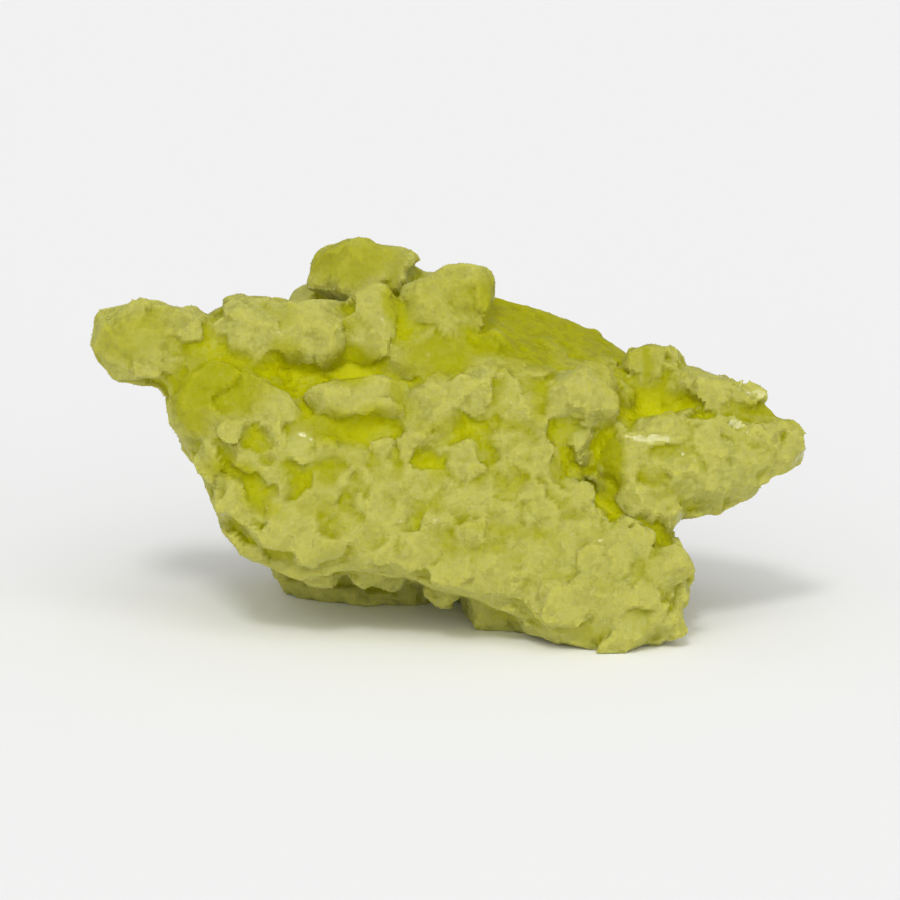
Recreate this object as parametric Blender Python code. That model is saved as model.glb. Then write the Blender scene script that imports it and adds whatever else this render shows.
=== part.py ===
"""A lump of native sulfur: a crust of small crystals grown into each other and into the mass under them.

Run it with blender --background --python part.py. Metres, +Z up, +Y from the lump's broad front face
towards its back. The lump is one solid. It stands on the flat where it broke off, with the middle of
its box over the origin.

Sizes in the tables are in millimetres. The lump is laid out on its front face: a place is given as how far
across the face it is, how far in behind the face, and how far up the face from the lowest point of the
lower lobe. The whole is then leant back by FACE_LEAN, as the face slopes when the lump stands.
"""

import math
import random

import bmesh
import bpy
from mathutils import Euler, Matrix, Vector
from mathutils.bvhtree import BVHTree

MM = 0.001
FACE_LEAN = 13  # degrees back from upright

# Habit of orthorhombic sulfur: lengths of the cell's edges, and how far the faces of each form lie from the
# centre of a crystal whose widest girth has the radius 1.
CELL = Vector((0.813, 1.0, 1.903))
FORMS = (((1, 1, 1), 0.80), ((1, 1, 3), 1.04), ((0, 1, 1), 0.92), ((0, 0, 1), 1.28))

# The front crust is a plate with this outline across and up the face, this thick, and this far behind it.
# The outline runs down the left margin, along the ragged lower edge, round the lower lobe and back.
PLATE = (
    (-12.6, 12.4), (-12.6, 10.9), (-11.9, 9.3), (-11.2, 8.3), (-10.5, 7.0), (-10.0, 5.4), (-9.3, 4.5),
    (-8.0, 4.1), (-6.5, 3.5), (-4.7, 3.9), (-3.1, 3.8), (-1.7, 3.6), (-0.4, 2.9), (1.1, 2.7), (2.2, 2.2),
    (3.6, 1.6), (5.6, 0.6), (7.7, 0.4), (9.2, 0.2), (10.3, 1.1), (10.9, 2.7), (10.7, 4.2), (10.2, 5.6),
    (8.2, 6.6), (6.0, 7.4), (5.6, 9.6), (5.4, 12.2), (0.5, 12.5), (-6.0, 12.0),
)
PLATE_DEPTH = 5.0
PLATE_BEHIND = 0.5
PLATE_BEVEL = 0.9

# Masses behind the plate and beside it: name, centre, full size, turn about X, Y and Z in degrees, and how
# rounded they are, where 1 is a box and 2 an ellipsoid.
MASSES = (
    ("trunk", (-1.0, 7.2, 9.2), (17.4, 10.4, 10.2), (8, 0, 2), 1.25),
    ("back", (0.6, 10.2, 8.6), (14.8, 8.0, 10.4), (16, -4, -5), 1.2),
    ("left_shoulder", (-8.2, 5.8, 11.4), (7.2, 7.4, 6.0), (-6, -10, 8), 1.4),
    ("bench", (2.6, 5.2, 12.3), (12.4, 8.2, 5.4), (24, 19, -2), 1.14),
    ("bench_step", (1.2, 7.6, 14.2), (7.6, 5.6, 3.4), (31, 15, 24), 1.2),
    ("right_root", (10.4, 5.2, 10.3), (8.4, 4.4, 4.2), (10, 10, 0), 1.4),
    ("right_lobe", (10.5, 3.1, 8.6), (8.8, 5.4, 5.0), (0, -10, 4), 1.75),
    ("right_tip", (13.2, 3.2, 9.5), (6.8, 3.6, 3.2), (0, -3, 0), 2.5),
    ("lower_lobe", (7.0, 3.1, 3.2), (7.2, 6.0, 6.4), (0, 12, 0), 1.5),
    ("foot", (-3.4, 11.2, 4.8), (9.2, 5.6, 6.0), (13, 0, -14), 1.3),
    ("heel", (4.4, 8.2, 4.4), (8.0, 10.6, 6.8), (13, 0, 10), 1.25),
)
MASS_FACES = 30

# Knobs that stand out of the crust, in rows along its upper edge, over the bench and over the right lobe:
# name, centre, full size, turn, and how rounded.
KNOBS = (
    ("left_loaf", (-13.2, 3.0, 14.1), (5.8, 4.4, 3.7), (0, 6, 0), 1.55),
    ("loaf_root", (-11.3, 3.4, 14.0), (3.2, 3.6, 2.8), (0, 20, 30), 1.4),
    ("upper_row_left", (-8.9, 3.0, 14.6), (4.2, 4.4, 3.2), (0, -4, 10), 1.6),
    ("upper_row_right", (-6.2, 2.8, 14.5), (4.2, 4.2, 3.1), (0, 4, -10), 1.5),
    ("summit", (-3.8, 6.4, 17.4), (4.8, 4.6, 3.1), (0, 4, 0), 1.5),
    ("summit_root", (-4.9, 8.8, 15.2), (5.0, 4.4, 3.8), (0, 10, 30), 1.4),
    ("bright_knob", (6.2, 1.3, 11.8), (3.1, 3.6, 2.8), (0, 0, 20), 1.8),
    ("middle_bar", (0.8, 1.4, 11.9), (5.8, 3.4, 2.4), (0, -8, 0), 1.7),
    ("left_bar", (-4.1, 1.2, 11.6), (4.8, 3.2, 1.8), (0, -6, 0), 1.5),
    ("smooth_knob", (-9.9, 2.2, 12.1), (5.8, 4.0, 3.5), (0, 10, 0), 1.9),
    ("tooth", (-8.0, 1.0, 10.9), (2.8, 2.2, 2.4), (0, 30, 0), 1.4),
    ("right_block", (9.3, 4.6, 12.9), (2.6, 3.2, 2.2), (0, 4, 0), 1.2),
    ("right_wedge", (12.3, 3.8, 11.9), (4.2, 3.4, 1.6), (0, 18, 0), 1.4),
)
KNOB_FACES = 24

# Crystals with their own faces, grown on the crust: name, centre, length, turn.
CRYSTALS = (
    ("bench_crystal", (-0.4, 3.7, 15.4), 5.6, (-35, 31, -51)),
    ("row_crystal", (-3.5, 2.7, 14.4), 4.5, (-10, -2, -141)),
    ("back_crystal", (4.6, 11.6, 13.0), 3.8, (-50, 40, 0)),
    ("shoulder_crystal", (-8.4, 9.6, 13.4), 4.2, (-40, -30, 50)),
)

# Low grains over the front face, in rows: the first grain's place across and up, and the steps to the next.
FACE_ROWS = 8
FACE_COLUMNS = 10
FACE_START = (-11.2, 1.2)
FACE_STEP = (2.3, 1.4)
FACE_GRAIN = (2.6, 4.2)  # smallest and largest width
FACE_GRAIN_DEPTH = 2.0
FACE_TOP = 11.0  # above this the rows of knobs begin
FACE_BEHIND = 1.6  # a grain sits only on what is no further behind the face than this
EDGE_REACH = 0.36  # share of a grain's width, from its middle, that has crust behind it

# Small crystals over the sides, top and back.
GRAINS = 110
GRAIN = (1.4, 2.8)
GRAIN_FACES = 12
GRAIN_BEHIND = 3.5  # nearer the face than this, the face's own grains take their place
GRAIN_FLOOR = 1.5  # nearer the floor than this there are none
BENCH_LOW = Vector((0.5, 1.5, 10.0))  # the bench stays smooth: corners of the space that it fills
BENCH_HIGH = Vector((8.5, 8.2, 20.0))

# Pits in the front face: centre, full size, turn. The last two are the cleft beside the right lobe.
PITS = (
    ((-3.3, -0.1, 10.1), (3.0, 1.2, 1.2), (0, -8, 0)),
    ((-9.2, 0.2, 8.1), (2.6, 0.9, 0.7), (0, 30, 0)),
    ((6.9, 0.7, 9.2), (0.8, 1.8, 2.6), (0, 10, 10)),
    ((7.3, 0.6, 7.6), (0.7, 1.6, 1.8), (0, -14, 0)),
)
PIT_FACES = 14

# One seed for each kind of growth, so that a change to one leaves the others as they are.
MASS_SEED = 16
KNOB_SEED = 4
FACE_SEED = 2
GRAIN_SEED = 5
PIT_SEED = 3

# How far a chunk's faces stray from an even spread, and how far in the deepest of them cuts.
FACE_STRAY = 0.16
DEEPEST_CUT = 0.86

LEAN = Matrix.Rotation(math.radians(-FACE_LEAN), 3, "X")


def spread(count):
    """Unit vectors spread evenly over a sphere, along a golden-angle spiral."""
    for i in range(count):
        height = 1 - 2 * (i + 0.5) / count
        turn = i * math.pi * (3 - math.sqrt(5))
        across = math.sqrt(1 - height * height)
        yield Vector((across * math.cos(turn), across * math.sin(turn), height))


def trimmed_block(size, planes):
    """A block of this size, cut back to each plane, given as its outward normal and its distance."""
    mesh = bmesh.new()
    bmesh.ops.create_cube(mesh, size=1.0)
    bmesh.ops.scale(mesh, vec=Vector(size), verts=mesh.verts)
    for normal, distance in planes:
        cut = bmesh.ops.bisect_plane(
            mesh,
            geom=mesh.verts[:] + mesh.edges[:] + mesh.faces[:],
            dist=1e-6,
            plane_co=normal * distance,
            plane_no=normal,
            clear_outer=True,
        )
        rim = [item for item in cut["geom_cut"] if isinstance(item, bmesh.types.BMEdge)]
        if rim:
            bmesh.ops.holes_fill(mesh, edges=rim)
    bmesh.ops.recalc_face_normals(mesh, faces=mesh.faces)
    return mesh


def chunk(size, roundness, faces, chance):
    """An irregular lump with flat faces, between a box and an ellipsoid in form."""
    half = Vector(size) / 2
    planes = []
    for direction in spread(faces):
        stray = Vector([chance.gauss(0, FACE_STRAY) for _ in range(3)])
        normal = (direction + stray).normalized()
        reach = sum(abs(n * h) ** roundness for n, h in zip(normal, half)) ** (1 / roundness)
        planes.append((normal, reach * chance.uniform(DEEPEST_CUT, 1.0)))
    return trimmed_block(size, planes)


def crystal(length):
    """A sulfur crystal: a steep double pyramid with its tips and shoulders cut by lower faces."""
    girth = length / 2.4
    planes = []
    for indices, distance in FORMS:
        for signs in ((x, y, z) for x in (1, -1) for y in (1, -1) for z in (1, -1)):
            index = Vector([i * s for i, s in zip(indices, signs)])
            normal = Vector([i / c for i, c in zip(index, CELL)]).normalized()
            planes.append((normal, distance * girth))
    return trimmed_block((2.4 * girth, 2.4 * girth, 2.8 * girth), planes)


def plate():
    """The front crust: a flat outline, thickened and with its edges rounded off."""
    path = bpy.data.curves.new("plate_outline", "CURVE")
    path.dimensions = "2D"
    path.fill_mode = "BOTH"
    path.extrude = PLATE_DEPTH / 2
    line = path.splines.new("POLY")
    line.points.add(len(PLATE) - 1)
    for point, (across, up) in zip(line.points, PLATE):
        point.co = (across, up, 0, 1)
    line.use_cyclic_u = True
    guide = bpy.data.objects.new("plate_outline", path)
    bpy.context.scene.collection.objects.link(guide)
    data = evaluated_mesh(guide)
    bpy.data.objects.remove(guide)
    mesh = bmesh.new()
    mesh.from_mesh(data)
    bmesh.ops.remove_doubles(mesh, verts=mesh.verts, dist=0.01)
    bmesh.ops.dissolve_limit(mesh, angle_limit=0.02, verts=mesh.verts, edges=mesh.edges)
    rim = [edge for edge in mesh.edges if abs(edge.verts[0].co.z - edge.verts[1].co.z) < 0.1]
    bmesh.ops.bevel(mesh, geom=rim, offset=PLATE_BEVEL, segments=2, affect="EDGES")
    bmesh.ops.rotate(mesh, matrix=Matrix.Rotation(math.radians(90), 3, "X"), verts=mesh.verts)
    bmesh.ops.triangulate(mesh, faces=mesh.faces)
    bmesh.ops.recalc_face_normals(mesh, faces=mesh.faces)
    return mesh


def place(name, mesh, centre, turn, collection):
    """Puts a mesh that is laid out on the face, in millimetres, into the scene as an object in metres."""
    turned = Euler([math.radians(angle) for angle in turn]).to_matrix().to_4x4()
    whole = Matrix.Scale(MM, 4) @ LEAN.to_4x4() @ Matrix.Translation(centre) @ turned
    bmesh.ops.transform(mesh, matrix=whole, verts=mesh.verts)
    data = bpy.data.meshes.new(name)
    mesh.to_mesh(data)
    mesh.free()
    thing = bpy.data.objects.new(name, data)
    collection.objects.link(thing)
    return thing


def helper(thing):
    """Marks an object as a cutter, or as a growth that is joined into the lump."""
    thing.hide_render = True
    thing.display_type = "WIRE"


def evaluated_mesh(thing):
    bpy.context.view_layer.update()
    graph = bpy.context.evaluated_depsgraph_get()
    return bpy.data.meshes.new_from_object(thing.evaluated_get(graph))


def boolean(thing, operation, collection):
    """Joins everything in the collection to the object, or cuts it all away."""
    step = thing.modifiers.new(operation.lower(), "BOOLEAN")
    step.operation = operation
    step.operand_type = "COLLECTION"
    step.collection = collection
    step.solver = "EXACT"


def shells_of(mesh):
    """The sets of vertices that are joined to each other by edges."""
    left = set(mesh.verts)
    while left:
        shell = set()
        front = [left.pop()]
        while front:
            vert = front.pop()
            shell.add(vert)
            near = {edge.other_vert(vert) for edge in vert.link_edges} & left
            left -= near
            front.extend(near)
        yield shell


def without_hollows(data):
    """Drops the shells that line sealed gaps between the growths, so that the lump is solid right through."""
    mesh = bmesh.new()
    mesh.from_mesh(data)
    outer = max(shells_of(mesh), key=len)
    inner = [vert for vert in mesh.verts if vert not in outer]
    bmesh.ops.delete(mesh, geom=inner, context="VERTS")
    mesh.to_mesh(data)
    mesh.free()


def clear_scene():
    for thing in list(bpy.data.objects):
        bpy.data.objects.remove(thing)


def new_collection(name):
    collection = bpy.data.collections.new(name)
    bpy.context.scene.collection.children.link(collection)
    return collection


def make_masses(chance, growths, lump):
    """The plate, and the large masses joined to it."""
    front = place("plate", plate(), (0, PLATE_BEHIND + PLATE_DEPTH / 2, 0), (0, 0, 0), lump)
    for name, centre, size, turn, roundness in MASSES:
        mesh = chunk(size, roundness, MASS_FACES, chance)
        helper(place(name, mesh, centre, turn, growths))
    return front


def make_knobs(chance, growths):
    """The knobs, and the crystals among them."""
    for name, centre, size, turn, roundness in KNOBS:
        mesh = chunk(size, roundness, KNOB_FACES, chance)
        helper(place(name, mesh, centre, turn, growths))
    for name, centre, length, turn in CRYSTALS:
        helper(place(name, crystal(length), centre, turn, growths))


def behind_face(surface, across, up):
    """How far behind the plane of the front face the surface lies, or infinity where there is none."""
    start = LEAN @ Vector((across, -10, up)) * MM
    hit, _, _, _ = surface.ray_cast(start, LEAN @ Vector((0, 1, 0)))
    return math.inf if hit is None else (LEAN.inverted() @ hit).y / MM


def fitting_share(surface, across, up, span):
    """The share of its full width that a face grain can have here without hanging over an edge, or 0."""
    for share in (1.0, 0.75, 0.5):
        reach = EDGE_REACH * span * share
        ends = ((0, 0), (reach, 0), (-reach, 0), (0, reach), (0, -reach))
        behind = [behind_face(surface, across + x, up + z) for x, z in ends]
        if max(behind) < FACE_BEHIND and up < FACE_TOP:
            return share
    return 0.0


def make_face_grains(chance, surface, growths):
    """Low grains over the front face, in rows that run a little unevenly across it."""
    for i in range(FACE_ROWS * FACE_COLUMNS):
        row, column = divmod(i, FACE_COLUMNS)
        across = FACE_START[0] + FACE_STEP[0] * (column + 0.5 * (row % 2)) + chance.uniform(-0.7, 0.7)
        up = FACE_START[1] + FACE_STEP[1] * row + chance.uniform(-0.5, 0.5)
        span = chance.uniform(*FACE_GRAIN)
        narrow = chance.uniform(0.55, 0.8)
        turn = (chance.uniform(-12, 12), chance.uniform(-35, 35), chance.uniform(-12, 12))
        sunk = chance.uniform(0.45, 0.75)
        share = fitting_share(surface, across, up, span)
        if not share:
            continue
        size = (span * share, FACE_GRAIN_DEPTH, span * share * narrow)
        centre = (across, behind_face(surface, across, up) + sunk, up)
        helper(place(f"face_grain_{i}", chunk(size, 1.6, GRAIN_FACES, chance), centre, turn, growths))


def bare(spot, height):
    """Whether small crystals stay off this spot: near the floor, by the front face, or on the bench."""
    on_bench = all(low < at < high for low, at, high in zip(BENCH_LOW, spot, BENCH_HIGH))
    return height < GRAIN_FLOOR or spot.y < GRAIN_BEHIND or on_bench


def make_grains(chance, surface, growths):
    """Small crystals half sunk in the sides, top and back, each where a line from far out meets them."""
    middle = LEAN @ Vector((0, 6.0, 8.5)) * MM
    for i, direction in enumerate(spread(GRAINS)):
        ray = (direction + Vector([chance.gauss(0, 0.12) for _ in range(3)])).normalized()
        span = chance.uniform(*GRAIN)
        turn = [chance.uniform(0, 360) for _ in range(3)]
        size = [span * chance.uniform(0.7, 1.2) for _ in range(3)]
        mesh = chunk(size, 1.5, GRAIN_FACES, chance)
        hit, normal, _, _ = surface.ray_cast(middle + ray * 60 * MM, -ray)
        if hit is None:
            mesh.free()
            continue
        spot = LEAN.inverted() @ (hit / MM - normal * span * 0.2)
        if bare(spot, hit.z / MM):
            mesh.free()
            continue
        helper(place(f"grain_{i}", mesh, spot, turn, growths))


def make_cutters(chance, cutters):
    """Pits, and a slab whose top is the plane where the lump broke off."""
    for i, (centre, size, turn) in enumerate(PITS):
        helper(place(f"pit_{i}", chunk(size, 1.6, PIT_FACES, chance), centre, turn, cutters))
    slab = place("floor_cutter", trimmed_block((60, 60, 20), []), (0, 0, -10), (0, 0, 0), cutters)
    slab.data.transform(LEAN.inverted().to_4x4())
    helper(slab)


def stand_on_origin(data):
    """Moves the mesh so that its box stands on the origin."""
    places = [vert.co for vert in data.vertices]
    low = Vector([min(place[i] for place in places) for i in range(3)])
    high = Vector([max(place[i] for place in places) for i in range(3)])
    middle = (low + high) / 2
    data.transform(Matrix.Translation((-middle.x, -middle.y, -low.z)))


def sulfur():
    """Resinous lemon yellow, pale where it is frosted."""
    material = bpy.data.materials.new("sulfur")
    material.use_nodes = True
    surface = material.node_tree.nodes["Principled BSDF"]
    surface.inputs["Base Color"].default_value = (0.62, 0.60, 0.10, 1.0)
    surface.inputs["Roughness"].default_value = 0.55
    surface.inputs["Metallic"].default_value = 0.0
    return material


def main():
    clear_scene()
    lump = new_collection("native_sulfur")
    growths = new_collection("growths")
    cutters = new_collection("cutters")

    front = make_masses(random.Random(MASS_SEED), growths, lump)
    boolean(front, "UNION", growths)
    bpy.context.view_layer.update()
    surface = BVHTree.FromObject(front, bpy.context.evaluated_depsgraph_get())
    make_knobs(random.Random(KNOB_SEED), growths)
    make_face_grains(random.Random(FACE_SEED), surface, growths)
    make_grains(random.Random(GRAIN_SEED), surface, growths)
    make_cutters(random.Random(PIT_SEED), cutters)
    boolean(front, "DIFFERENCE", cutters)

    whole = evaluated_mesh(front)
    bpy.data.objects.remove(front)
    without_hollows(whole)
    stand_on_origin(whole)
    whole.materials.clear()
    whole.materials.append(sulfur())
    lump.objects.link(bpy.data.objects.new("sulfur_crystal", whole))


main()
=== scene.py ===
"""A lump of native sulfur on a pale table."""

import itertools
import math

import bmesh
import bpy
import numpy as np
from mathutils import Euler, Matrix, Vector
from mathutils.kdtree import KDTree


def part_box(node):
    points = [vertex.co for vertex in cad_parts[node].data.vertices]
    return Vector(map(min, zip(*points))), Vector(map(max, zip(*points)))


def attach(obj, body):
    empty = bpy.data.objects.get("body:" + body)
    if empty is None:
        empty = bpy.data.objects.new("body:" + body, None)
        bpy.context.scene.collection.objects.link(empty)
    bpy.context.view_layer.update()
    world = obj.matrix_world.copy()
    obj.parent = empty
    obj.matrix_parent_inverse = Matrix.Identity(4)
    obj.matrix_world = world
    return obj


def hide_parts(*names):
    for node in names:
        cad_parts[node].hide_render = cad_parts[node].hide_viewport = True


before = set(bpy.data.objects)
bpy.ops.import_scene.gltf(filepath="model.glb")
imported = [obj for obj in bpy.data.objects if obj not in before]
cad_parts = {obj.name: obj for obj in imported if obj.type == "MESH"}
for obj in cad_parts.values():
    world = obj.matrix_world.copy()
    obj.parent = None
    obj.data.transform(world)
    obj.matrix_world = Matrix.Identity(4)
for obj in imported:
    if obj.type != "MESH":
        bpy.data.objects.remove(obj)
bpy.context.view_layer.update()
MM = 0.001


# ---- The crust -------------------------------------------------------------------------------------------
# The body of the lump: one mass of sulfur that grew as a crust of crystals, so that they all run into each
# other. The solid gives it its knobs and flat faces, small crystals of the habit that sulfur always has are
# sunk into those, and a frosting keeps to what stands out.

FACE_LEAN = math.radians(13)  # the front face leans back
FACE_FOOT = np.array([-0.107, -8.600, 0.0]) * MM  # where the face's own origin stands
FORWARDS, FORWARDS_GAIN = 0.6, 1.6  # how facing forwards is reckoned from a slope

CELL_EDGES = (0.813, 1.0, 1.903)  # the sulfur cell's edges against its second
HABITS = [  # how far a crystal's steep, flat, end and front faces lie from its middle
    (0.9, 1.2, 1.25, 1.0),
    (1.0, 1.4, 1.1, 1.3),
]
CRYSTALS = 140
CRYSTAL_SIZE = (0.6, 1.3)  # from tip to tip, in millimetres
LEAST_SUNK, MORE_SUNK = 0.12, 0.2  # shares of its size
UNDERSIDE = -0.3  # what faces further down than this bears none
CROWDED_OUT = 0.9  # share of them that is missing where the crust is bare
PATCH = 3.2 * MM  # crystals within a patch lie alike
PATCH_BLUR = 0.25  # how far patches run into each other
LOOSENESS = [0.06, 0.2, 1.2]  # how far a crystal is turned from its patch
STRETCH = 0.12
SHRINK = 0.02 * MM  # what the solid gives up to the crystals on it
BOX_SHARE = 0.024  # how far they may stand out of the solid's box, against each side
CLEAN_SHARE = 0.14  # share of the larger crystal faces that are bare, with no frosting
CLEAN_AREA = (0.10 * MM**2, 2.0 * MM**2)
FACING_STEPS, PLACE_STEPS = 50, 20  # to one, and to the millimetre: what is alike to a step is one plane
SEED = 7

VOXEL = 0.172 * MM
WEAR_ROUNDS = 1
CLEAN_ROUNDS, CLEAN_GAIN, CLEAN_LESS = 2, 1.4, 0.2  # clean faces keep their middles and lose their rims
FACETS = 1700
FACET_TILT = 0.13
FACET_RISE = 0.22 * MM  # how far a facet may cut in or stand out
SEAM = 0.06 * MM  # over which one facet turns into the next
CALM = (0.8, 0.3, 0.4)  # how much flatter facets lie where the crust is clean, pale and bare
OWN_CHANCE = 0.6  # share of a facet's frosting that is its own, and not its crystal's
ASKEW = 0.4  # cosine: a plane tilted further against the crust counts as tilted so much
TURNED_AWAY = 0.3  # cosine: one tilted past this isn't used
BROAD, LEVEL, ROUNDED = 8, 4, 30  # rounds of smoothing: of the facing, of the crust under facets, of places
PIT_ROUNDS, PIT_DEPTH, PIT_FILL = 60, (0.06 * MM, 0.6 * MM), 0.8  # pits between these depths are filled
STEP_SIZE, STEP_DOME, STEP_RISE = 0.5 * MM, 0.004, 0.012  # the smallest broken faces, in millimetres
STEP_CALM = (0.9, 0.8)  # how much flatter they lie where the crust is clean and bare
CHIP, CHIP_SIZE, SHARPEST = 0.4, 0.45 * MM, 0.2  # how much edges are broken off
SHARP_ANGLE = math.radians(17)  # edges sharper than this look crisp
REACH_ROUNDS = (8, 60, 260)  # near, middling and far: rounds over which a place is held against the crust

# Places where the crust is bare of frosting and shows the darker, deeper yellow of clean sulfur; on the bench
# and the summit this also stands in for shade.
BARE_PLACES = [
    # across and up the face, half width and half height in millimetres, turn in degrees, how bare
    (4.6, 15.2, 4.8, 1.5, -20, 1.0),  # the bench behind the front row; its darker clean colour also paints the shade that lay on it
    (-0.3, 13.6, 2.0, 1.0, 10, 0.9),  # foot of the crystal on the bench
    (-10.2, 12.3, 2.7, 1.5, 10, 0.95),  # smooth knob
    (-11.6, 11.1, 1.0, 1.3, 0, 0.9),
    (-14.3, 14.5, 2.0, 1.1, 20, 0.6),  # left loaf
    (-4.6, 18.0, 2.3, 1.2, 5, 0.8),  # summit; its darker clean colour also paints the shade that lay on it
    (-1.0, 16.1, 1.5, 1.2, 0, 0.35),  # crystal on the bench
    (7.9, 12.3, 1.0, 0.8, 0, 0.4),
    (-4.3, 13.1, 1.7, 0.9, 10, 1.0),  # under the upper row
    (-7.2, 13.4, 0.7, 1.2, 30, 0.8),
    (-2.4, 15.8, 0.5, 1.7, 8, 0.9),  # beside the crystal
    (-4.4, 10.4, 2.2, 0.8, 5, 1.0),  # pit under the left bar
    (-6.2, 10.9, 0.6, 0.9, 0, 0.7),
    (-9.6, 8.3, 1.5, 0.6, -25, 0.9),
    (-8.3, 6.8, 1.2, 0.5, -35, 0.8),
    (-5.1, 8.6, 0.9, 0.6, 40, 0.75),
    (-0.6, 8.6, 0.5, 0.7, 0, 0.7),
    (2.9, 5.6, 2.4, 0.3, -4, 0.5),
    (7.3, 8.6, 0.7, 2.1, 6, 1.0),  # cleft beside the right lobe
    (9.6, 11.6, 1.7, 0.7, -5, 1.0),  # channel above the right lobe
    (14.8, 11.0, 1.7, 0.4, -15, 0.9),
    (8.9, 13.3, 0.3, 1.1, 10, 0.9),
    (-2.1, 11.9, 0.4, 1.3, -10, 0.75),  # gaps in the middle row, and the seam under it
    (4.1, 11.7, 0.4, 1.2, 0, 0.75),
    (1.3, 10.5, 2.8, 0.4, 0, 0.65),
]
CLEAR_PLACES = [(2.9, 14.0, 2.8, 1.0, -12, 1.0)]  # the front of the bench: crystals, but no frosting
PALE_PLACES = [
    (5.3, 3.6, 4.4, 2.4, -10, 1.0),  # lower right lobe
    (-7.2, 14.7, 3.6, 1.1, 0, 0.8),  # upper row
    (-7.5, 6.0, 3.0, 1.0, -20, 0.5),
    (-5.0, 3.8, 4.6, 0.8, 0, 1.0),  # the broken lower edge
    (0.5, 2.7, 3.6, 0.8, -15, 1.0),
]
RIM, RIM_FALL = 1.9, 1.5  # a place is full to three fifths of its rim, and gone a quarter beyond it
RAGGED, RAGGED_SIZE = 0.35, 1.1 * MM  # how far the rims of the places wander, in millimetres
ROUND_THE_TOP = 0.45  # bare places reach so much further round

# Clean faces that catch the light: ellipses as above, and which way they face.
MIRRORS = [(9.2, 9.9, 1.2, 0.22, 0), (13.7, 12.2, 0.9, 0.2, -35), (13.2, 10.4, 0.6, 0.16, -30)]
MIRROR_FACING = np.array([-0.07, -0.86, 0.50])
MIRROR_RIM = 1.25
MIRROR_RISE, MIRROR_LIMIT = 0.35 * MM, 1.2 * MM  # how far crust may move, and what is left as it is
MIRROR_GLOSS = 0.3


def merged_copy(node, name):
    """A copy of a solid's mesh whose triangles are joined at their edges."""
    mesh = bmesh.new()
    mesh.from_mesh(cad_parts[node].data)
    bmesh.ops.remove_doubles(mesh, verts=mesh.verts, dist=0.001 * MM)
    data = bpy.data.meshes.new(name)
    mesh.to_mesh(data)
    mesh.free()
    return data


def new_piece(data):
    """An object of this mesh and name, in the scene."""
    piece = bpy.data.objects.new(data.name, data)
    bpy.context.scene.collection.objects.link(piece)
    return piece


def applied(piece):
    """Replaces the piece's mesh by what its modifiers make of it."""
    graph = bpy.context.evaluated_depsgraph_get()
    data = bpy.data.meshes.new_from_object(piece.evaluated_get(graph))
    piece.modifiers.clear()
    piece.data = data


def numbers_of(items, name, width):
    """One property of all a mesh's points, edges or faces, as rows of an array."""
    flat = np.empty(len(items) * width)
    items.foreach_get(name, flat)
    return flat.reshape(-1, width)


def move_points(data, points):
    """Puts a mesh's points at these places."""
    data.vertices.foreach_set("co", points.astype(np.float32).ravel())
    data.update()


def spread_out(values, edges, rounds):
    """Each point's value becomes the mean of its own and its neighbours' mean, over and over."""
    ends = np.concatenate([edges[:, 0], edges[:, 1]])
    others = np.concatenate([edges[:, 1], edges[:, 0]])
    count = len(values)
    neighbours = np.maximum(np.bincount(ends, minlength=count), 1)
    columns = values.reshape(count, -1)
    for _ in range(rounds):
        sums = [np.bincount(ends, weights=column[others], minlength=count) for column in columns.T]
        columns = 0.5 * columns + 0.5 * np.stack(sums, axis=1) / neighbours[:, None]
    return columns.reshape(values.shape)


def chance_at(cells, salt):
    """A number from 0 to 1 that depends only on the whole-number cell and the salt: their bits, mixed."""
    bits = cells[..., 0] * 73856093 ^ cells[..., 1] * 19349663 ^ cells[..., 2] * 83492791
    bits = bits ^ salt * 2654435761
    bits = ((bits ^ (bits >> 13)) * 1274126177) & 0xFFFFFFFF
    bits = ((bits ^ (bits >> 15)) * 2246822519) & 0xFFFFFFFF
    return (bits >> 8) / float(1 << 24)


def swell(points, size, salt):
    """Smooth noise from -1 to 1: chances at the corners of cells this large, blended between them."""
    scaled = points / size
    cell = np.floor(scaled).astype(np.int64)
    part = scaled - cell
    part = part * part * (3 - 2 * part)
    total = np.zeros(len(points))
    for corner in np.ndindex(2, 2, 2):
        corner = np.array(corner)
        weight = np.prod(np.where(corner, part, 1 - part), axis=1)
        total += weight * chance_at(cell + corner, salt)
    return 2 * total - 1


def broken_faces(points, size, salt):
    """Spots strewn one to a cell of this size: the distance to the nearest, and the height of its own tilted
    plane over each point."""
    scaled = points / size
    cell = np.floor(scaled).astype(np.int64)
    near = np.full(len(points), 9.0)
    plane = np.zeros(len(points))
    for step in np.ndindex(3, 3, 3):
        there = cell + np.array(step) - 1
        offset = scaled - there - np.stack([chance_at(there, salt + i) for i in range(3)], axis=1)
        away = np.linalg.norm(offset, axis=1)
        closer = away < near
        tilt = 2 * np.stack([chance_at(there, salt + 3 + i) for i in range(3)], axis=1) - 1
        plane = np.where(closer, (offset * tilt).sum(axis=1) + chance_at(there, salt + 6) - 0.5, plane)
        near = np.where(closer, away, near)
    return near, plane


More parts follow.
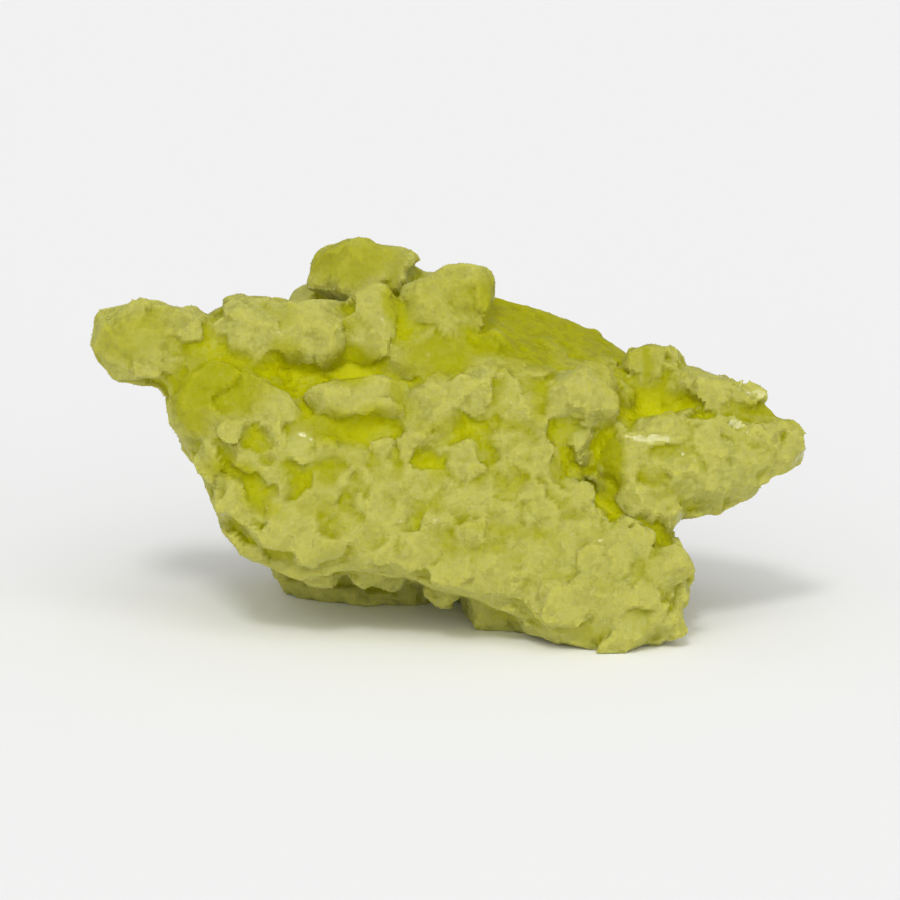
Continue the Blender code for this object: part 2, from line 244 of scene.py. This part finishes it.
def facets_over(points, level, normals, seeds, dice):
    """How far each point moves along its normal to lie on a flat facet, and which facet that is. Every seed
    carries a plane square to its own normal, tilted at random, through its place on the levelled crust. A
    point takes the plane of the nearest seed, blended with the next two within a narrow seam."""
    tree = KDTree(len(seeds))
    for index, seed in enumerate(seeds):
        tree.insert(points[seed], index)
    tree.balance()
    found = [tree.find_n(point, 3) for point in points]
    nearest = np.array([[hit[1] for hit in hits] for hits in found])
    away = np.array([[hit[2] for hit in hits] for hits in found])
    facing = normals[seeds] + FACET_TILT * dice.standard_normal((len(seeds), 3))
    facing = facing / np.linalg.norm(facing, axis=1, keepdims=True)
    facing, middle = facing[nearest], level[seeds][nearest]
    along = (facing * normals[:, None]).sum(axis=2)
    rise = ((middle - points[:, None]) * facing).sum(axis=2) / np.maximum(along, ASKEW)
    weight = np.exp(-(away - away[:, :1]) / SEAM)
    weight = weight * (along > TURNED_AWAY)
    total = weight.sum(axis=1)
    rise = np.where(total > 0, (weight * rise).sum(axis=1) / np.maximum(total, 1e-9), 0)
    return np.clip(rise, -FACET_RISE, FACET_RISE), nearest[:, 0]


def on_the_face(points, normals):
    """Where each point lies across and up the front face, in millimetres, and how far it faces forwards:
    over one on the face, and under nought behind."""
    back, up = math.sin(FACE_LEAN), math.cos(FACE_LEAN)
    place = (points - FACE_FOOT) / MM
    facing = FORWARDS - FORWARDS_GAIN * (normals[:, 1] * up - normals[:, 2] * back)
    return place[:, 0], back * place[:, 1] + up * place[:, 2], facing


def reach_in(across, up, ellipse):
    """Distance from the middle of an ellipse on the face: one on its rim."""
    middle, height, half_width, half_height, turn = ellipse
    turn = math.radians(turn)
    along = math.cos(turn) * (across - middle) + math.sin(turn) * (up - height)
    over = math.cos(turn) * (up - height) - math.sin(turn) * (across - middle)
    return np.hypot(along / half_width, over / half_height)


def spread_over(places, points, normals, turned_off=0.0):
    """How far each point is inside one of these places: their amounts, falling to none outside the ellipses
    and on what faces backwards, a little further round with turned_off."""
    across, up, facing = on_the_face(points, normals)
    across = across + RAGGED * swell(points, RAGGED_SIZE, 61)
    up = up + RAGGED * swell(points, RAGGED_SIZE, 62)
    share = np.zeros(len(points))
    for *ellipse, amount in places:
        inside = np.clip(RIM - RIM_FALL * reach_in(across, up, ellipse), 0, 1)
        share = np.maximum(share, amount * inside)
    return share * np.clip(facing + turned_off, 0, 1)


def mirrors(points, normals):
    """How far each point moves along its normal to lie in one of the clean faces that catch the light, and
    how much it belongs to one. Such a face passes through the middle of the crust that it takes up."""
    across, up, facing = on_the_face(points, normals)
    square = MIRROR_FACING / np.linalg.norm(MIRROR_FACING)
    along = normals @ square
    rise, share = np.zeros(len(points)), np.zeros(len(points))
    for ellipse in MIRRORS:
        reach = np.where((facing > 0.5) & (along > ASKEW), reach_in(across, up, ellipse), 9)
        middle = np.median(points[reach < 1] @ square)
        level = (middle - points @ square) / np.maximum(along, ASKEW)
        mine = np.clip(4 * (MIRROR_RIM - reach), 0, 1) * (np.abs(level) < MIRROR_LIMIT)
        rise = np.where(mine > 0, mine * np.clip(level, -MIRROR_RISE, MIRROR_RISE), rise)
        share = np.maximum(share, mine)
    return rise, share


def habit(steep, flat, end, front):
    """Points and triangles of a crystal. Its faces' planes lie at these distances from its middle, and a
    point where three planes meet belongs to it if it lies behind all the others."""
    forms = [((1, 1, 1), steep), ((1, 1, 3), flat), ((0, 0, 1), end), ((0, 1, 1), front)]
    normals, reach = [], []
    for index, distance in forms:
        for signs in np.ndindex(2, 2, 2):
            normal = np.array(index) * (1 - 2 * np.array(signs)) / np.array(CELL_EDGES)
            normals.append(normal / np.linalg.norm(normal))
            reach.append(distance)
    normals, first = np.unique(np.round(normals, 6), axis=0, return_index=True)
    reach = np.array(reach)[first]
    triples = np.array(list(itertools.combinations(range(len(normals)), 3)))
    planes = normals[triples]
    solved = np.abs(np.linalg.det(planes)) > 1e-4
    corners = np.linalg.solve(planes[solved], reach[triples[solved]][..., None])[..., 0]
    corners = corners[(corners @ normals.T <= reach + 1e-5).all(axis=1)]
    mesh = bmesh.new()
    for corner in np.unique(np.round(corners, 4), axis=0):
        mesh.verts.new(corner)
    bmesh.ops.convex_hull(mesh, input=mesh.verts)
    bmesh.ops.recalc_face_normals(mesh, faces=mesh.faces)
    mesh.verts.index_update()
    points = np.array([vertex.co for vertex in mesh.verts])
    faces = np.array([[vertex.index for vertex in face.verts] for face in mesh.faces])
    mesh.free()
    return points / (points[:, 2].max() - points[:, 2].min()), faces


def turned(spins):
    """Rotation matrices of quaternions, one for each row."""
    w, x, y, z = (spins / np.linalg.norm(spins, axis=1, keepdims=True)).T
    rows = [
        [1 - 2 * (y * y + z * z), 2 * (x * y - z * w), 2 * (x * z + y * w)],
        [2 * (x * y + z * w), 1 - 2 * (x * x + z * z), 2 * (y * z - x * w)],
        [2 * (x * z - y * w), 2 * (y * z + x * w), 1 - 2 * (x * x + y * y)],
    ]
    return np.moveaxis(np.array(rows), 2, 0)


def crystals_at(where, size, shape, faces, dice):
    """Points and triangles of a crystal at each place, turned nearly as the others of its patch, and which
    of them were kept: those that would leave the solid's box or reach the table are left out."""
    count = len(where)
    cell = np.floor(where / PATCH + PATCH_BLUR * dice.standard_normal((count, 3))).astype(np.int64)
    spins = np.stack([2 * chance_at(cell, 71 + i) - 1 for i in range(4)], axis=1)
    spins = spins / np.linalg.norm(spins, axis=1, keepdims=True)
    spins = spins + dice.choice(LOOSENESS, count)[:, None] * dice.standard_normal((count, 4))
    stretch = 1 + STRETCH * dice.standard_normal((count, 1, 3))
    made = np.einsum("nij,vj->nvi", turned(spins) * size[:, None, None] * stretch, shape)
    made = made + where[:, None]
    low, high = (np.array(corner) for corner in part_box("sulfur_crystal"))
    room = BOX_SHARE * (high - low)
    within = ((made > low - room) & (made < high + room)).all(axis=(1, 2)) & (made[..., 2] > 0).all(axis=1)
    made = made[within]
    starts = len(shape) * np.arange(len(made))
    return made.reshape(-1, 3), (faces[None] + starts[:, None, None]).reshape(-1, 3), within


# Crystals are strewn over the solid by area, fewer where the crust is bare.
solid = merged_copy("sulfur_crystal", "sulfur_crust")
corners = numbers_of(solid.vertices, "co", 3)
corner_normals = numbers_of(solid.vertex_normals, "vector", 3)
triangles = numbers_of(solid.polygons, "vertices", 3).astype(int)
area = numbers_of(solid.polygons, "area", 1)[:, 0]
out = numbers_of(solid.polygons, "normal", 3)

dice = np.random.default_rng(SEED)
chosen = dice.choice(len(triangles), CRYSTALS, p=area / area.sum())
weights = dice.dirichlet((1, 1, 1), CRYSTALS)
where = (corners[triangles[chosen]] * weights[..., None]).sum(axis=1)
wanted = dice.random(CRYSTALS) > CROWDED_OUT * spread_over(BARE_PLACES, where, out[chosen])
wanted &= out[chosen][:, 2] > UNDERSIDE
where, chosen = where[wanted], chosen[wanted]
size = MM * (CRYSTAL_SIZE[0] + (CRYSTAL_SIZE[1] - CRYSTAL_SIZE[0]) * dice.random(len(where)) ** 2)
where = where - out[chosen] * (size * (LEAST_SUNK + MORE_SUNK * dice.random(len(where))))[:, None]
half = len(where) // 2
all_points = [corners - corner_normals * SHRINK]
all_faces = [triangles]
for part, distances in zip((slice(0, half), slice(half, None)), HABITS):
    made, faces, _ = crystals_at(where[part], size[part], *habit(*distances), dice)
    all_faces.append(faces + sum(len(points) for points in all_points))
    all_points.append(made)
grown = bpy.data.meshes.new("grown")
grown.from_pydata(np.concatenate(all_points), [], np.concatenate(all_faces))
grown.update()

# A crystal face is clean or frosted as a whole: triangles in one plane share one chance.
area = numbers_of(grown.polygons, "area", 1)[:, 0]
normal = numbers_of(grown.polygons, "normal", 3)
reach = (normal * numbers_of(grown.polygons, "center", 3)).sum(axis=1, keepdims=True) / MM
planes = np.round(np.hstack([normal * FACING_STEPS, reach * PLACE_STEPS])).astype(np.int64)
_, facet = np.unique(planes, axis=0, return_inverse=True)
facet = facet.ravel()
facet_area = np.bincount(facet, weights=area)
clean = dice.random(len(facet_area)) < CLEAN_SHARE
clean = (clean & (facet_area > CLEAN_AREA[0]) & (facet_area < CLEAN_AREA[1])).astype(float)
shade = dice.random(len(facet_area))
colour = np.stack([clean, shade, clean, clean], axis=1)[facet]
grown.color_attributes.new("facets", "FLOAT_COLOR", "CORNER")
grown.color_attributes["facets"].data.foreach_set("color", np.repeat(colour, 3, axis=0).ravel())
grown = new_piece(grown)

# All of it becomes one closed skin, which takes the faces' chances from what it was made of.
crust = new_piece(grown.data.copy())
crust.name = "sulfur_crust"
crust.data.color_attributes.remove(crust.data.color_attributes["facets"])
remesh = crust.modifiers.new("remesh", "REMESH")
remesh.mode = "VOXEL"
remesh.voxel_size = VOXEL
applied(crust)
crust.data.color_attributes.new("facets", "FLOAT_COLOR", "CORNER")
transfer = crust.modifiers.new("facets", "DATA_TRANSFER")
transfer.object = grown
transfer.use_loop_data = True
transfer.data_types_loops = {"COLOR_CORNER"}
transfer.loop_mapping = "POLYINTERP_NEAREST"
transfer.layers_vcol_loop_select_src = "ALL"
transfer.layers_vcol_loop_select_dst = "NAME"
applied(crust)
bpy.data.objects.remove(grown)

data = crust.data
data.name = "sulfur_crust"
points = numbers_of(data.vertices, "co", 3)
edges = numbers_of(data.edges, "vertices", 2).astype(int)
colour = numbers_of(data.color_attributes["facets"].data, "color", 4)
owner = numbers_of(data.loops, "vertex_index", 1)[:, 0].astype(int)
clean, shade = (np.bincount(owner, weights=colour[:, i]) / np.bincount(owner) for i in range(2))
data.color_attributes.remove(data.color_attributes["facets"])


def standing_out(points, normals, edges, rounds):
    """How far each point stands out of the crust around it, in millimetres: its distance along its normal
    from what so many rounds of smoothing make of it."""
    return ((points - spread_out(points, edges, rounds)) * normals).sum(axis=1) / MM


# The small flat faces that the crystals of the crust end in. Clean faces keep their own flatness, and the
# deepest pits between them are partly filled.
points = spread_out(points, edges, WEAR_ROUNDS)
clean = np.clip(CLEAN_GAIN * spread_out(clean, edges, CLEAN_ROUNDS) - CLEAN_LESS, 0, 1)
move_points(data, points)
normals = numbers_of(data.vertex_normals, "vector", 3)
broad = spread_out(normals, edges, BROAD)
broad = broad / np.linalg.norm(broad, axis=1, keepdims=True)
bare = spread_over(BARE_PLACES + CLEAR_PLACES, points, spread_out(broad, edges, ROUNDED), ROUND_THE_TOP)
seeds = dice.choice(len(points), FACETS, replace=False)
level = spread_out(points, edges, LEVEL)
pale = spread_over(PALE_PLACES, points, normals)
rise, facet = facets_over(points, level, broad, seeds, dice)
shade = (1 - OWN_CHANCE) * shade + OWN_CHANCE * dice.random(FACETS)[facet]
rise = rise * (1 - CALM[0] * clean) * (1 - CALM[1] * pale) * (1 - CALM[2] * bare)
points = points + broad * rise[:, None]
sunk = ((spread_out(points, edges, PIT_ROUNDS) - points) * broad).sum(axis=1)
sunk = np.clip(sunk - PIT_DEPTH[0], 0, PIT_DEPTH[1])
points = points + broad * (PIT_FILL * sunk * (1 - bare))[:, None]
rise, mirror = mirrors(points, broad)
points = points + broad * rise[:, None]
clean = np.maximum(clean * (1 - bare), MIRROR_GLOSS * mirror)
move_points(data, points)

# The finest broken faces, and edges chipped off.
normals = numbers_of(data.vertex_normals, "vector", 3)
edge = np.clip(standing_out(points, normals, edges, REACH_ROUNDS[0]), 0, SHARPEST)
dome, step = broken_faces(points, STEP_SIZE, 31)
height = STEP_DOME * (1 - dome**2) + STEP_RISE * step
height = height * (1 - STEP_CALM[0] * clean) * (1 - STEP_CALM[1] * bare)
height = height - CHIP * (1 - mirror) * edge * (0.5 + swell(points, CHIP_SIZE, 13))
points = points + normals * (height * MM)[:, None]
points[:, 2] = np.maximum(points[:, 2], 0)
move_points(data, points)

# Frosting keeps to edges and to what stands out of the crust around it. Each facet has its own share of it.
FROSTED = 0.68  # how much lies on a level face
FROST_OUT = (6.5, 3.2, 0.5)  # and more for each millimetre that it stands out, near, middling and far
FROST_SHARE = 0.40  # from facet to facet
FROST_PALE = 0.45  # more on the pale places
FROST_OFF = (0.4, 0.95)  # how much of it is missing where the crust is clean and bare
CLOUDS, SPOTS = (0.22, 2.4 * MM), (0.14, 0.6 * MM)  # how much it comes and goes, and over what distance
PAINTED_GLOW_FROM, PAINTED_GLOW_IN = -0.1, (1.6, 1.0)  # painted glow: hollows get a lighter yellow base colour the more for each millimetre that they lie in

normals = numbers_of(data.vertex_normals, "vector", 3)
near_out, mid_out, far_out = (standing_out(points, normals, edges, rounds) for rounds in REACH_ROUNDS)
frost = FROSTED + FROST_OUT[0] * near_out + FROST_OUT[1] * mid_out + FROST_OUT[2] * far_out
frost = frost + FROST_SHARE * (shade - 0.5)
frost += FROST_PALE * pale + CLOUDS[0] * swell(points, CLOUDS[1], 51) + SPOTS[0] * swell(points, SPOTS[1], 52)
frost = np.clip(frost, 0, 1) * (1 - FROST_OFF[0] * clean) * (1 - FROST_OFF[1] * bare * (1 - mirror))
# Painted glow: a lighter base colour in hollows, in place of light through their walls and against the shade
# in them.
painted_glow = np.clip(PAINTED_GLOW_FROM - PAINTED_GLOW_IN[0] * mid_out - PAINTED_GLOW_IN[1] * far_out, 0, 1)


def add_values(data, name, values):
    """Keeps one number for each point, for the material to read."""
    layer = data.attributes.new(name, "FLOAT", "POINT")
    layer.data.foreach_set("value", values.astype(np.float32))


def without_pockets(data, edges):
    """Leaves only the largest connected part of a mesh, without the specks that were closed off inside it.
    Each point takes the lowest number found among its neighbours, until none changes."""
    part = np.arange(len(data.vertices))
    while True:
        lowest = part.copy()
        np.minimum.at(lowest, edges[:, 0], part[edges[:, 1]])
        np.minimum.at(lowest, edges[:, 1], part[edges[:, 0]])
        lowest = lowest[lowest]
        if (lowest == part).all():
            break
        part = lowest
    mesh = bmesh.new()
    mesh.from_mesh(data)
    mesh.verts.ensure_lookup_table()
    specks = np.flatnonzero(part != np.bincount(part).argmax())
    bmesh.ops.delete(mesh, geom=[mesh.verts[i] for i in specks], context="VERTS")
    mesh.to_mesh(data)
    mesh.free()


add_values(data, "frost", frost)
add_values(data, "clean", clean)
add_values(data, "painted_glow", painted_glow)
add_values(data, "bare", bare)
without_pockets(data, edges)
data.shade_smooth()
data.set_sharp_from_angle(angle=SHARP_ANGLE)


class Value:
    """One output in a material. Arithmetic on it adds a Math node."""

    def __init__(self, finish, socket):
        self.finish = finish
        self.socket = socket

    def math(self, operation, *values):
        """A Math node of this operation on these values, in their order."""
        return self.finish.node("ShaderNodeMath", {"operation": operation}, dict(enumerate(values)))

    def __add__(self, other):
        return self.math("ADD", self, other)

    __radd__ = __add__

    def __mul__(self, other):
        return self.math("MULTIPLY", self, other)

    __rmul__ = __mul__

    def __sub__(self, other):
        return self.math("SUBTRACT", self, other)

    def __rsub__(self, other):
        return self.math("SUBTRACT", other, self)

    def held(self, low=0.0, high=1.0):
        """This value, no lower and no higher than these."""
        return self.math("MINIMUM", self.math("MAXIMUM", self, low), high)


class Finish:
    """A material made of nodes round one Principled shader."""

    def __init__(self, name):
        self.material = bpy.data.materials.new(name)
        self.material.use_nodes = True
        self.tree = self.material.node_tree
        self.surface = self.tree.nodes["Principled BSDF"]

    def node(self, kind, settings, inputs, output=0):
        """Adds a node of this type: its settings first, then its sockets' values or links."""
        made = self.tree.nodes.new(kind)
        for name, value in settings.items():
            setattr(made, name, value)
        for key, value in inputs.items():
            if isinstance(value, Value):
                self.tree.links.new(value.socket, made.inputs[key])
            else:
                made.inputs[key].default_value = value
        return Value(self, made.outputs[output])

    def mixed(self, amount, first, second):
        """A colour between two, by amount."""
        settings = {"data_type": "RGBA", "blend_type": "MIX"}
        return self.node("ShaderNodeMix", settings, {"Factor": amount, 6: first, 7: second}, 2)

    def feed(self, name, value):
        """Links a value to the shader's socket of this name."""
        self.tree.links.new(value.socket, self.surface.inputs[name])

    def set_all(self, values):
        """Sets the shader's sockets that are the same all over."""
        for name, value in values.items():
            self.surface.inputs[name].default_value = value


CLEAN = (0.346, 0.344, 0.001, 1.0)  # clean sulfur, seen deep into
PAINTED_GLOW = (0.60, 0.59, 0.001, 1.0)  # painted glow: clean sulfur made lighter in a hollow, standing in for light coming through its walls and lifting the shade there
FROST = (0.48, 0.468, 0.108, 1.0)  # dusted white
COAT = 0.6  # the gloss of clean faces
SPECKLE, DRIFT = 4200.0, 600.0  # unevenness of the dusting, to the metre: fine and broad
UNEVEN = (0.8, 0.35, 0.6)  # how much of each, and how much less where the crust is bare
GLOSS_CELLS, FINE_CELLS = 2600.0, 5600.0  # small faces to the metre: each way about 0.4 mm and 0.2 mm
RELIEF = (1.1, 0.9, 0.00005)  # of the two sizes of face and of the speckle
RELIEF_CALM = (0.85, 0.6)  # how much less of it where the crust is clean and bare
SATIN, DUSTY, SHINY, GLINTING = 0.46, 0.22, 0.34, 0.25  # roughness, and what frosting and clean faces change


def facet_relief(finish, place, to_the_metre):
    """A height that breaks the surface in flat facets: each cell is a plane through its own spot, tilted."""
    cell = {"Vector": place, "Scale": to_the_metre}
    spot = finish.node("ShaderNodeTexVoronoi", {}, cell, "Position")
    tint = finish.node("ShaderNodeTexVoronoi", {}, cell, "Color")
    offset = finish.node("ShaderNodeVectorMath", {"operation": "SUBTRACT"}, {0: place, 1: spot})
    tilt = finish.node("ShaderNodeVectorMath", {"operation": "SUBTRACT"}, {0: tint, 1: (0.5, 0.5, 0.5)})
    return finish.node("ShaderNodeVectorMath", {"operation": "DOT_PRODUCT"}, {0: offset, 1: tilt}, "Value")


crusted = Finish("sulfur_crust")
place = crusted.node("ShaderNodeTexCoord", {}, {}, "Object")
frost_here, clean_here, painted_glow_here, bare_here = (
    crusted.node("ShaderNodeAttribute", {"attribute_name": name}, {}, "Fac")
    for name in ("frost", "clean", "painted_glow", "bare")
)
speck = crusted.node("ShaderNodeTexNoise", {}, {"Vector": place, "Scale": SPECKLE, "Detail": 3.0}, "Fac")
cloud = crusted.node("ShaderNodeTexNoise", {}, {"Vector": place, "Scale": DRIFT, "Detail": 2.0}, "Fac")
uneven = ((speck - 0.5) * UNEVEN[0] + (cloud - 0.5) * UNEVEN[1]) * (1 - bare_here * UNEVEN[2])
dusted = (frost_here + uneven).held()
# Base colour: clean sulfur, with painted glow in the hollows, under the frosting.
crusted.feed("Base Color", crusted.mixed(dusted, crusted.mixed(painted_glow_here, CLEAN, PAINTED_GLOW), FROST))
crusted.feed("Coat Weight", clean_here * COAT)

# One small face in five or so is glossier than the rest.
glossy = crusted.node("ShaderNodeTexVoronoi", {}, {"Vector": place, "Scale": GLOSS_CELLS}, "Color")
glossy = crusted.node("ShaderNodeSeparateColor", {}, {"Color": glossy}, "Green")
glossy = ((glossy - 0.8) * 8.0).held()
roughness = SATIN + dusted * DUSTY - clean_here * SHINY - glossy * GLINTING
crusted.feed("Roughness", roughness.held(0.1, 0.9))

height = facet_relief(crusted, place, GLOSS_CELLS) * RELIEF[0]
height = height + facet_relief(crusted, place, FINE_CELLS) * RELIEF[1] + (speck - 0.5) * RELIEF[2]
height = height * (1 - clean_here * RELIEF_CALM[0]) * (1 - bare_here * RELIEF_CALM[1])
bump = crusted.node("ShaderNodeBump", {}, {"Height": height, "Distance": 1.0, "Strength": 0.8})
crusted.feed("Normal", bump)

crusted.set_all(
    {
        "IOR": 1.5,
        "Specular IOR Level": 0.06,
        "Coat Roughness": 0.12,
        "Subsurface Weight": 0.7,
        "Subsurface Radius": (1.0, 0.85, 0.12),  # blue light goes in least
        "Subsurface Scale": 1.0 * MM,
    }
)
data.materials.clear()
data.materials.append(crusted.material)
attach(crust, "root")
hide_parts("sulfur_crystal")


# ---- The grains ------------------------------------------------------------------------------------------
# The sugar on the crust: steep double pyramids, each sunk to about its middle, thick where the crust is
# frosted and absent where it is clean. They are the same sulfur, grown last, and some of their faces shine.

GRAINS = 42000
GRAIN_SIZE = (0.07, 0.20)  # from tip to tip, in millimetres
GRAIN_HABIT = (1.0, 3.0, 3.3, 3.0)  # steep faces alone: the others lie outside them
GRAIN_SUNK = (0.02, 0.2)  # shares of its size: at least, and up to so much more
GRAINS_FROM = 0.15  # the frosting that bears the first of them
GRAINS_OFF = 0.9  # share of them that is missing where the crust is clean
GRAINS_ABOVE = 0.25 * MM  # none so near the table
GRAIN_FROST = 0.12  # how far they differ from the frosting under them
SHINING = 0.2  # share of them
GRAIN_SPECKLE, GRAIN_UNEVEN, GRAIN_RELIEF = 9000.0, 0.5, 0.00003

grained = Finish("sulfur_grains")
place = grained.node("ShaderNodeTexCoord", {}, {}, "Object")
frost_here, clean_here = (
    grained.node("ShaderNodeAttribute", {"attribute_name": name}, {}, "Fac") for name in ("frost", "clean")
)
noise = {"Vector": place, "Scale": GRAIN_SPECKLE, "Detail": 2.0}
speck = grained.node("ShaderNodeTexNoise", {}, noise, "Fac")
dusted = (frost_here + (speck - 0.5) * GRAIN_UNEVEN).held()
grained.feed("Base Color", grained.mixed(dusted, CLEAN, FROST))
grained.feed("Roughness", (0.5 - clean_here * SHINY).held(0.1, 0.9))
relief = {"Height": speck * GRAIN_RELIEF, "Distance": 1.0, "Strength": 0.5}
bump = grained.node("ShaderNodeBump", {}, relief)
grained.feed("Normal", bump)
grained.set_all({"IOR": 1.6, "Subsurface Weight": 0.0})

dice = np.random.default_rng(SEED + 1)
wish = np.clip(frost - GRAINS_FROM, 0, 1) * (1 - GRAINS_OFF * clean) * (points[:, 2] > GRAINS_ABOVE)
chosen = dice.choice(len(points), GRAINS, replace=False, p=wish / wish.sum())
size = MM * (GRAIN_SIZE[0] + (GRAIN_SIZE[1] - GRAIN_SIZE[0]) * dice.random(GRAINS) ** 3)
sunk = size * (GRAIN_SUNK[0] + dice.random(GRAINS) * GRAIN_SUNK[1])
where = points[chosen] - normals[chosen] * sunk[:, None]
leftmost = np.argsort(where[:, 0])
for side, part in (("left", leftmost[: GRAINS // 2]), ("right", leftmost[GRAINS // 2:])):
    spots, faces, kept = crystals_at(where[part], size[part], *habit(*GRAIN_HABIT), dice)
    sugar = bpy.data.meshes.new("sulfur_grains_" + side)
    sugar.from_pydata(spots, [], faces)
    each = len(spots) // kept.sum()
    dusting = frost[chosen[part]] + GRAIN_FROST * dice.standard_normal(len(part))
    glints = (dice.random(len(part)) < SHINING).astype(float)
    add_values(sugar, "frost", np.repeat(dusting[kept], each))
    add_values(sugar, "clean", np.repeat(glints[kept], each))
    sugar.shade_flat()
    sugar.materials.append(grained.material)
    sugar = new_piece(sugar)
    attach(sugar, "root")


# ---- The table and the light -----------------------------------------------------------------------------
# A plain pale table top, wide enough to fill the view, under a broad soft light from the front and above, a
# smaller one that picks out the clean faces, and an even white room.

TABLE_SIDE = 3.0
PAPER = (0.95, 0.95, 0.95, 1.0)
ROOM = 0.43

bpy.ops.mesh.primitive_plane_add(size=TABLE_SIDE)
table = bpy.context.object
table.name = "table"
paper = Finish("table")
paper.set_all({"Base Color": PAPER, "Roughness": 0.9, "Specular IOR Level": 0.1})
table.data.materials.append(paper.material)


def soft_light(name, from_left, up, width, power):
    """A far light from this many degrees left of the camera and above the table, as wide as a soft box."""
    lamp = bpy.data.lights.new(name, "SUN")
    lamp.angle = math.radians(width)
    lamp.energy = power
    thing = bpy.data.objects.new(name, lamp)
    thing.rotation_euler = Euler((math.radians(90 - up), 0, math.radians(-from_left)))
    bpy.context.scene.collection.objects.link(thing)


soft_light("key", from_left=-6, up=37, width=80, power=1.68)
soft_light("spark", from_left=10, up=48, width=10, power=0.8)

world = bpy.data.worlds.new("studio")
bpy.context.scene.world = world
world.use_nodes = True
sky = world.node_tree.nodes["Background"].inputs
sky["Color"].default_value = (1.0, 1.0, 1.0, 1.0)
sky["Strength"].default_value = ROOM
bpy.context.scene.view_settings.view_transform = "Standard"


# ---- The camera ------------------------------------------------------------------------------------------
# It looks at the lump from the front and a little above, from about a foot away, through a long lens that
# fills the view with it.

CAMERA_DISTANCE = 265 * MM
CAMERA_ABOVE = math.radians(13)
VIEW_WIDTH = 41.5 * MM
AIM = Vector((0.0, 0.0, 7.6 * MM))
SENSOR = 36.0  # in millimetres, as the lens is

lens = bpy.data.cameras.new("camera")
lens.sensor_width = SENSOR
lens.lens = SENSOR * CAMERA_DISTANCE / VIEW_WIDTH
lens.clip_start = 0.01
lens.clip_end = 10.0
camera = bpy.data.objects.new("camera", lens)
camera.location = AIM + CAMERA_DISTANCE * Vector((0, -math.cos(CAMERA_ABOVE), math.sin(CAMERA_ABOVE)))
camera.rotation_euler = Euler((math.radians(90) - CAMERA_ABOVE, 0, 0))
bpy.context.scene.collection.objects.link(camera)
bpy.context.scene.camera = camera
